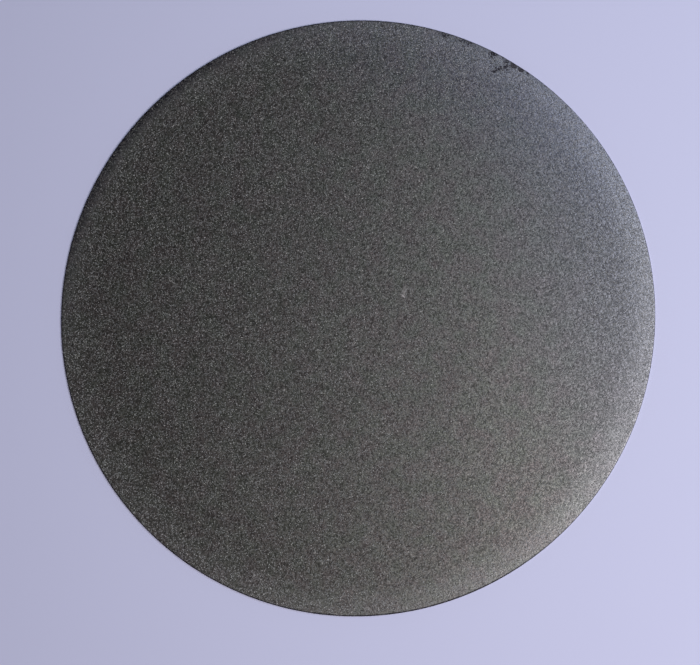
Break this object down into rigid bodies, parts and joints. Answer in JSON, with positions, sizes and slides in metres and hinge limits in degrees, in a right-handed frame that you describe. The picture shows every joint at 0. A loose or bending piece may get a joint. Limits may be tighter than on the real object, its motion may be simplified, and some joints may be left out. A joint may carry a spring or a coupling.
{
  "type": "diamond grinding disc",
  "caption": "Flat round steel disc without a centre hole, one face electroplated with coarse diamond grit, for wet grinding and lapping on a flat platen.",
  "frame": {"origin": "centre of the bare back face", "axes": "+Z out of the gritted face, +X and +Y in the disc, to the right and up as the picture shows it"},
  "size_m": [0.3, 0.3, 0.0018],
  "materials": {
    "ground_steel": "bare ground sheet steel, satin",
    "diamond_nickel": "rough dark grey nickel plate full of coarse glittering diamond grit"
  },
  "bodies": {
    "root": {"steel_blank": "ground_steel", "diamond_coating": "diamond_nickel"}
  },
  "joints": []
}
